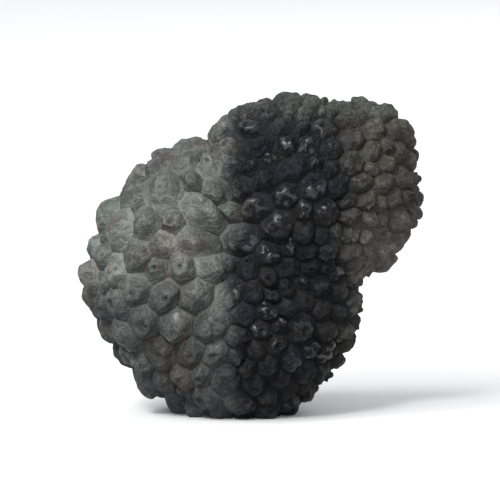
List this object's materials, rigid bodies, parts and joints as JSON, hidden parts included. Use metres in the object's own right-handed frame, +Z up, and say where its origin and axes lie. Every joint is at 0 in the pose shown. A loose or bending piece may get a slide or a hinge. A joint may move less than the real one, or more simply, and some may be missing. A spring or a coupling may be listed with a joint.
{
  "type": "black truffle",
  "caption": "Whole black truffle: a lobed tuber under a skin of small blunt warts, resting on a small flat spot.",
  "frame": {"origin": "on the surface it stands on, under the middle of its bounding box", "axes": "+Z up; +X to the right, towards the overhanging cheek; -Y towards the viewer, the front"},
  "size_m": [0.0326, 0.0232, 0.0306],
  "materials": {
    "skin": "black, warty and moist, with dull highlights on the tips of the warts"
  },
  "bodies": {
    "root": {"truffle": "skin"}
  },
  "joints": []
}
